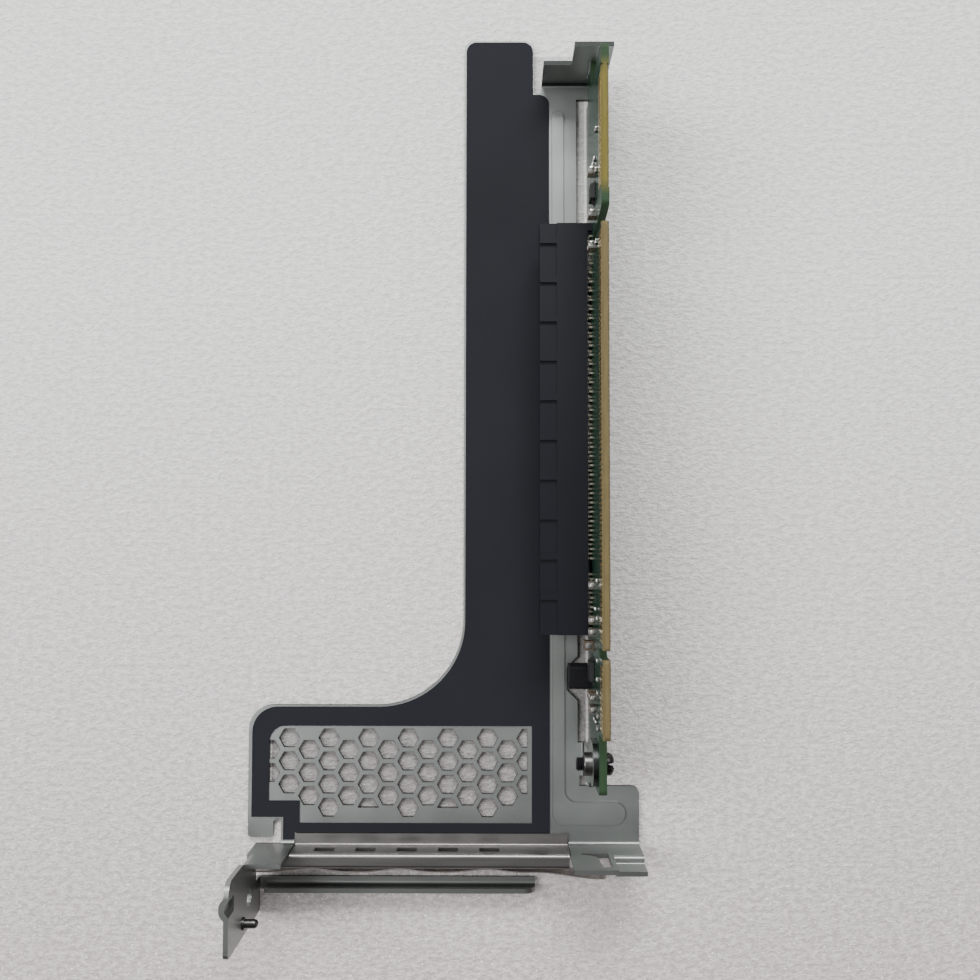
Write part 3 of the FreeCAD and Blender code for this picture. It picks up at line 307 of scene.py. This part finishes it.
# Painted shade on the flanks of beads and folds, on cut edges near the plate and on upper rims.
flank = (up > 0.25) * zinc.span(zinc.eased(2, 0.2 * MM), 0.99, 0.92) * on_plate
cut = (abs(up) < 0.25) * (zinc.axis(2) < 1.02 * MM)
rim = (up > 0.9) * (zinc.axis(2) > 4 * MM) * (zinc.axis(1) > 0.0)
sheet = zinc.blend(zinc_cloud, (0.345, 0.372, 0.36), (0.435, 0.462, 0.446))
sheet_with_rear_shade = zinc.blend(rear * 0.42, sheet, (0.10, 0.10, 0.098))
painted_edge_shade = (flank * 0.85).most((cut + rim) * 0.95)
zinc.set(
    Base_Color=zinc.blend(painted_edge_shade, sheet_with_rear_shade, (0.03, 0.033, 0.032)),
    Roughness=0.32 + 0.12 * zinc_cloud + 0.06 * zinc_grain,
)
zinc.bump(zinc_grain, 0.00004, 0.35)
zinc.on("cage_sheet")


# ------------------------------------------------------------------ insulation film
# Thin black film glued to the plate and open over the vent, pressed flat with a fine
# random grain that scatters the light.
film = Finish("black_film", Specular_IOR_Level=0.10)
film_grain = film.noise(3200.0, detail=2.0, roughness=0.7)
film_cloud = film.noise(35.0, detail=3.0)
film.set(
    Base_Color=film.blend(film_cloud, (0.011, 0.012, 0.016), (0.017, 0.018, 0.023)),
    Roughness=0.50 + 0.2 * film_grain,
)
film.bump(film_grain, 0.00005, 0.6)
film.on("insulation_film")


# ------------------------------------------------------------------ gasket rail and spring
# The rail is zinc-coated strip like the cage. The spring outside its lip is brighter tinned
# strip with marks along its length. The pin and the clinch nut are turned steel.
rail = Finish("rail_steel", Metallic=1.0)
rail_grain = rail.noise(900.0, detail=3.0, stretch=(0.08, 1.0, 1.0))
rail.set(
    Base_Color=rail.blend(rail_grain, (0.21, 0.205, 0.20), (0.29, 0.28, 0.275)),
    Roughness=0.30 + 0.14 * rail_grain,
)
rail.bump(rail_grain, 0.00003, 0.3)
rail.on("gasket_rail")

tinned = Finish("spring_steel", Metallic=1.0)
tinned_grain = tinned.noise(1400.0, detail=2.0, stretch=(0.1, 1.0, 1.0))
tinned.set(
    Base_Color=tinned.blend(tinned_grain, (0.50, 0.46, 0.44), (0.70, 0.66, 0.62)),
    Roughness=0.20 + 0.12 * tinned_grain,
)
tinned.bump(tinned_grain, 0.00002, 0.3)
tinned.on("contact_spring")

turned = Finish("turned_steel", Metallic=1.0)
turned_rings = turned.noise(2500.0, detail=1.0, stretch=(1.0, 0.05, 0.05))
turned.set(
    Base_Color=turned.blend(turned_rings, (0.10, 0.10, 0.098), (0.18, 0.18, 0.175)),
    Roughness=0.28 + 0.12 * turned_rings,
)
turned.bump(turned_rings, 0.00002, 0.3)
turned.on("locating_pin", "clinch_nut")


# ------------------------------------------------------------------ circuit board
# Glass-epoxy board with a glossy green mask and faint conductors on both faces. Its routed
# edges are bare laminate, tan along the bevelled tongues and green elsewhere.
board_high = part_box("riser_board")[1]
board = Finish("circuit_board", Specular_IOR_Level=0.18)
weave = board.noise(2200.0, detail=2.0, stretch=(1.0, 0.12, 1.0))
height = board.axis(2)
along = board.axis(1)
flat = board.node("CombineXYZ", {0: along + (height * 130.0).sine() * 1.5 * MM, 1: height})
courses = {"Mortar Size": 0.10, "Mortar Smooth": 0.3, "Brick Width": 11.0, "Row Height": 0.9}
traces = board.node("TexBrick", {"Vector": flat, "Scale": 1.0 / MM, **courses}, output=1)
poured = board.noise(90.0, detail=2.0)
mask = board.blend(traces * 0.6 + poured * 0.3, (0.009, 0.028, 0.017), (0.018, 0.052, 0.031))
edge_share = abs(board.facing(0)) < 0.97
upper = board.span(along, 0.1165, 0.1175)
lower_tan = (along > 0.0124) * (along < 0.1155)
upper_tan_share = board.span(along, 0.1195, 0.1225) * board.span(along, 0.1475, 0.1445)
tan_share = (height > board_high.z - 2.2 * MM) * (lower_tan + upper_tan_share)
main_tan = board.blend(weave, (0.095, 0.074, 0.030), (0.165, 0.128, 0.058))
upper_tan = board.blend(weave, (0.105, 0.088, 0.017), (0.18, 0.15, 0.034))
laminate = board.blend(upper, main_tan, upper_tan)
green_edge = board.blend(weave, (0.018, 0.040, 0.018), (0.034, 0.066, 0.032))
edge = board.blend(tan_share, green_edge, laminate)
board.set(
    Base_Color=board.blend(edge_share, mask, edge),
    Roughness=0.26 + 0.38 * edge_share,
)
board.bump(weave * edge_share + traces * 0.05, 0.00004, 0.5)
board.on("riser_board")


# ------------------------------------------------------------------ gold fingers and contacts
# Hard gold plating on the tongues' fingers, brushed along their length, and a paler plated
# copper alloy on the slot's bowed contacts and their tails.
gold = Finish("gold_plate", Metallic=1.0)
gold_grain = gold.noise(1800.0, detail=2.0, stretch=(1.0, 1.0, 0.1))
gold.set(
    Base_Color=gold.blend(gold_grain, (0.74, 0.52, 0.20), (0.90, 0.68, 0.32)),
    Roughness=0.20 + 0.12 * gold_grain,
)
gold.on("edge_contacts_short", "edge_contacts_long", "edge_contacts_upper")

plated = Finish("contact_alloy", Metallic=1.0)
plated_grain = plated.noise(1500.0, detail=2.0)
plated.set(
    Base_Color=plated.blend(plated_grain, (0.60, 0.56, 0.46), (0.82, 0.78, 0.66)),
    Roughness=0.22 + 0.16 * plated_grain,
)
plated.on("slot_contacts_near", "slot_contacts_far")


# ------------------------------------------------------------------ card slot
# Moulded glass-filled plastic, black with a slight blue-grey bloom along the flow of the
# melt and a fine mould grain.
slot = Finish("slot_plastic", Specular_IOR_Level=0.25)
slot_grain = slot.noise(2400.0, detail=2.0)
slot_flow = slot.noise(60.0, detail=3.0, stretch=(1.0, 0.25, 1.0))
slot.set(
    Base_Color=slot.blend(slot_flow, (0.004, 0.005, 0.009), (0.008, 0.009, 0.014)),
    Roughness=0.38 + 0.16 * slot_flow,
)
slot.bump(slot_grain, 0.00003, 0.35)
slot.on("slot_housing")


# ------------------------------------------------------------------ board screw
# Black-oxide pan-head screw with a cross slot, and a rolled thread that stands out of the
# clinch nut behind the tab. It takes the place of the plain solid.
def skin(name, points, material):
    """A closed mesh over points (copies, rows, columns, 3): columns close round, ends are flat."""
    copies, rows, columns = points.shape[:3]
    index = np.arange(rows * columns).reshape(rows, columns)
    after = np.roll(index, -1, axis=1)
    quads = np.stack([index[:-1], after[:-1], after[1:], index[1:]], axis=-1).reshape(-1, 4)
    ends = np.stack([index[0][::-1], index[-1]])
    step = (np.arange(copies) * rows * columns)[:, None, None]
    faces = (quads + step).reshape(-1, 4).tolist() + (ends + step).reshape(-1, columns).tolist()
    mesh = bpy.data.meshes.new(name)
    mesh.from_pydata(points.reshape(-1, 3).tolist(), [], faces)
    mesh.shade_smooth()
    mesh.set_sharp_from_angle(angle=math.radians(35))
    mesh.materials.append(material)
    piece = bpy.data.objects.new(name, mesh)
    bpy.context.scene.collection.objects.link(piece)
    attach(piece, "root")
    return piece


oxide = Finish("black_screw", Metallic=0.6)
oxide_wear = oxide.noise(700.0, detail=3.0)
oxide.set(
    Base_Color=oxide.blend(oxide_wear > 0.62, (0.012, 0.012, 0.014), (0.05, 0.05, 0.052)),
    Roughness=0.30 + 0.2 * oxide_wear,
)
oxide.bump(oxide_wear, 0.00002, 0.3)

screw_low, screw_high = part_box("board_screw")
screw_axis = (screw_low + screw_high) / 2
seat = board_high.x
head_r = (screw_high.z - screw_low.z) / 2
shank_r = 1.45 * MM
thread_depth = 0.25 * MM
thread_x = np.linspace(screw_low.x + 0.2 * MM, seat, 150)
dome = np.linspace(0.0, 0.5 * np.pi, 24)
stations = np.concatenate([
    [screw_low.x, screw_low.x], thread_x, [seat, seat + 0.1 * MM],
    seat + (screw_high.x - seat) * (0.40 + 0.60 * np.sin(dome)),
])
radii = np.concatenate([
    [0.1 * MM, 1.0 * MM], np.full(thread_x.shape, shank_r), [head_r * 0.96, head_r],
    head_r * np.maximum(np.cos(dome), 0.02) ** 0.55,
])
cut_depth = np.concatenate([
    np.zeros(2), np.full(thread_x.shape, thread_depth), np.zeros(2 + len(dome)),
])


def threaded(pitch, columns=72):
    """Points round X at each station; r is the radius less the depth of a V thread.

    The V is a triangle wave of x / pitch - angle / (2 pi), so its crest climbs as a helix.
    """
    angle = np.linspace(0.0, 2.0 * np.pi, columns, endpoint=False)
    turns = stations[:, None] / pitch - angle[None, :] / (2.0 * np.pi)
    valley = 1.0 - np.abs((turns % 1.0) * 2.0 - 1.0)
    radius = radii[:, None] - cut_depth[:, None] * valley
    x = np.repeat(stations[:, None], columns, axis=1)
    y = screw_axis.y + radius * np.cos(angle)
    z = screw_axis.z + radius * np.sin(angle)
    return np.stack([x, y, z], axis=-1)


def slotted(points, half_width, depth):
    """Drops the head's points in a cross slot to its flat floor: x = top - depth.

    The slot runs right across along Z, and 1.5 mm either side of the axis along Y.
    """
    from_y = np.abs(points[..., 1] - screw_axis.y)
    from_z = np.abs(points[..., 2] - screw_axis.z)
    floor_x = screw_high.x - depth
    in_cross = (from_y < half_width) | (from_z < half_width) & (from_y < 1.5 * MM)
    inside = in_cross & (points[..., 0] > floor_x)
    points[..., 0] = np.where(inside, floor_x, points[..., 0])
    return points


screw_points = slotted(threaded(0.5 * MM), 0.55 * MM, 1.5 * MM)
screw = skin("threaded_screw", screw_points[None], oxide.material)
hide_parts("board_screw")


# ------------------------------------------------------------------ soldered parts
# Pressed-powder inductor, epoxy-moulded chips, a brown moulded capacitor, and ceramic chips
# whose bodies turn to tinned metal at their two ends.
powder = Finish("inductor_body", Specular_IOR_Level=0.12)
powder_grain = powder.noise(1600.0, detail=3.0)
powder.set(
    Base_Color=powder.blend(powder_grain, (0.004, 0.004, 0.005), (0.012, 0.012, 0.014)),
    Roughness=0.55 + 0.2 * powder_grain,
)
powder.bump(powder_grain, 0.00006, 0.5)
powder.on("power_inductor")

epoxy = Finish("chip_plastic", Specular_IOR_Level=0.4)
epoxy_grain = epoxy.noise(2000.0, detail=2.0)
epoxy.set(
    Base_Color=epoxy.blend(epoxy_grain, (0.012, 0.012, 0.013), (0.026, 0.026, 0.028)),
    Roughness=0.45 + 0.2 * epoxy_grain,
)
epoxy.bump(epoxy_grain, 0.00002, 0.4)
epoxy.on("regulator_chip", "buffer_chip")

ceramic = Finish("ceramic_tan")
ceramic_grain = ceramic.noise(1200.0, detail=2.0)
high_row = abs(ceramic.axis(2) - 20.8 * MM)
low_row = abs(ceramic.axis(2) - 17.2 * MM)
tinned_end = high_row.least(low_row) > 1.1 * MM
fired = ceramic.blend(ceramic_grain, (0.12, 0.09, 0.06), (0.19, 0.145, 0.10))
ceramic.set(
    Base_Color=ceramic.blend(tinned_end, fired, (0.22, 0.215, 0.20)),
    Metallic=tinned_end,
    Roughness=0.30 + 0.2 * ceramic_grain,
)
ceramic.on("ceramic_capacitors")

dark = Finish("ceramic_dark")
dark_grain = dark.noise(1200.0, detail=2.0)
dark.set(
    Base_Color=dark.blend(dark_grain, (0.020, 0.018, 0.016), (0.045, 0.040, 0.036)),
    Roughness=0.25 + 0.2 * dark_grain,
)
dark.on("chip_resistors")

brown = Finish("tantalum_body")
brown_grain = brown.noise(1200.0, detail=2.0)
brown.set(
    Base_Color=brown.blend(brown_grain, (0.065, 0.042, 0.028), (0.11, 0.072, 0.048)),
    Roughness=0.35 + 0.2 * brown_grain,
)
brown.on("tantalum_capacitor")


# ------------------------------------------------------------------ solder
# Bright tin: rounded caps a hair proud of every chip's ends, ten smaller chips with the same
# caps, and a cone on the board's back where each slot contact's tail comes through.
solder = Finish("solder", Metallic=1.0)
solder_grain = solder.noise(1500.0, detail=2.0)
solder.set(
    Base_Color=solder.blend(solder_grain, (0.50, 0.50, 0.49), (0.78, 0.78, 0.76)),
    Roughness=0.12 + 0.12 * solder_grain,
)
solder.bump(solder_grain, 0.00002, 0.3)


def islands(node):
    """The points of each separate solid in a node, found by spreading labels along its edges."""
    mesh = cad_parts[node].data
    points = np.empty(len(mesh.vertices) * 3)
    mesh.vertices.foreach_get("co", points)
    points = points.reshape(-1, 3)
    pairs = np.empty(len(mesh.edges) * 2, dtype=int)
    mesh.edges.foreach_get("vertices", pairs)
    _, same = np.unique(np.round(points, 7), axis=0, return_inverse=True)
    pairs = same.reshape(-1)[pairs].reshape(-1, 2)
    label = np.arange(same.max() + 1)
    before = None
    while before is None or (before != label).any():
        before = label.copy()
        lowest = label[pairs].min(axis=1)
        np.minimum.at(label, pairs[:, 0], lowest)
        np.minimum.at(label, pairs[:, 1], lowest)
        label = label[label]
    owner = label[same.reshape(-1)]
    return [points[owner == one] for one in np.unique(owner)]


def pillows(centres, halves, power=0.62):
    """Rounded blocks: half sizes times signed powers of the sines and cosines of a sphere.

    A power of 1 gives an ellipsoid and a power near 0 gives a sharp box.
    """
    rise = np.linspace(-0.5 * np.pi, 0.5 * np.pi, 8)[:, None]
    turn = (np.arange(16) + 0.5)[None, :] * np.pi / 8
    ring = np.maximum(np.cos(rise), 0.02) ** power
    shape = np.stack([
        ring * np.sign(np.cos(turn)) * np.abs(np.cos(turn)) ** power,
        ring * np.sign(np.sin(turn)) * np.abs(np.sin(turn)) ** power,
        np.sign(np.sin(rise)) * np.abs(np.sin(rise)) ** power + 0.0 * turn,
    ], axis=-1)
    return centres[:, None, None, :] + shape[None] * halves[:, None, None, :]


def end_caps(name, node, share, proud):
    """Two tinned caps on every chip of a node, at its upper and lower ends."""
    first = np.array([points.min(axis=0) for points in islands(node)])
    last = np.array([points.max(axis=0) for points in islands(node)])
    half = (last - first) / 2 + proud
    half[:, 2] = (last - first)[:, 2] * share / 2 + proud
    centre = (first + last) / 2
    centre[:, 0] -= proud
    far = (last - first)[:, 2] / 2 * (1.0 - share)
    shift = np.stack([0.0 * far, 0.0 * far, far], axis=-1)
    caps = pillows(np.concatenate([centre - shift, centre + shift]), np.concatenate([half, half]))
    skin(name, caps, solder.material)


end_caps("capacitor_caps", "ceramic_capacitors", 0.24, 0.05 * MM)
end_caps("resistor_caps", "chip_resistors", 0.26, 0.04 * MM)
end_caps("tantalum_caps", "tantalum_capacitor", 0.16, 0.04 * MM)

chip_y = np.array([13.4, 15.9, 20.5, 23.2, 27.0, 35.5, 43.1, 112.4, 127.3, 135.8]) * MM
chip_half = np.repeat(np.array([[0.26, 0.42, 0.8]]) * MM, len(chip_y), axis=0)
chip_at = np.stack([-chip_half[:, 0], chip_y, np.full(len(chip_y), 25.2 * MM)], axis=-1)
skin("small_chips", pillows(chip_at, chip_half * 0.96, 0.12), dark.material)
cap_half = np.array([[0.30, 0.46, 0.20]]) * MM + 0.0 * chip_at
chip_end = np.array([[-0.02 * MM, 0.0, 0.66 * MM]])
chip_ends = np.concatenate([chip_at - chip_end, chip_at + chip_end * (-1, 1, 1)])
chip_caps = pillows(chip_ends, np.concatenate([cap_half, cap_half]), 0.4)
skin("small_chip_caps", chip_caps, solder.material)


def tail_cones(rows, height, foot):
    """A cone of solder on the board's back at each contact's tail.

    At a share s of its height, r = foot (0.28 + 0.72 (1 - s) ^ 2.2) sqrt(1 - 0.9 s ^ 8).
    """
    solids = [points for row in rows for points in islands(row)]
    ends = [points[points[:, 0] > points[:, 0].max() - 0.05 * MM] for points in solids]
    tails = np.array([points.mean(axis=0) for points in ends])
    s = np.linspace(0.0, 1.0, 6)[:, None]
    angle = np.linspace(0.0, 2.0 * np.pi, 12, endpoint=False)[None, :]
    radius = foot * (0.28 + 0.72 * (1.0 - s) ** 2.2) * np.sqrt(1.0 - 0.9 * s ** 8)
    x = seat + s * height + 0.0 * angle
    shape = np.stack([x, radius * np.cos(angle), radius * np.sin(angle)], axis=-1)
    tails[:, 0] = 0.0
    return tails[:, None, None, :] + shape[None]


cones = tail_cones(("slot_contacts_near", "slot_contacts_far"), 0.8 * MM, 0.42 * MM)
skin("tail_solder", cones, solder.material)
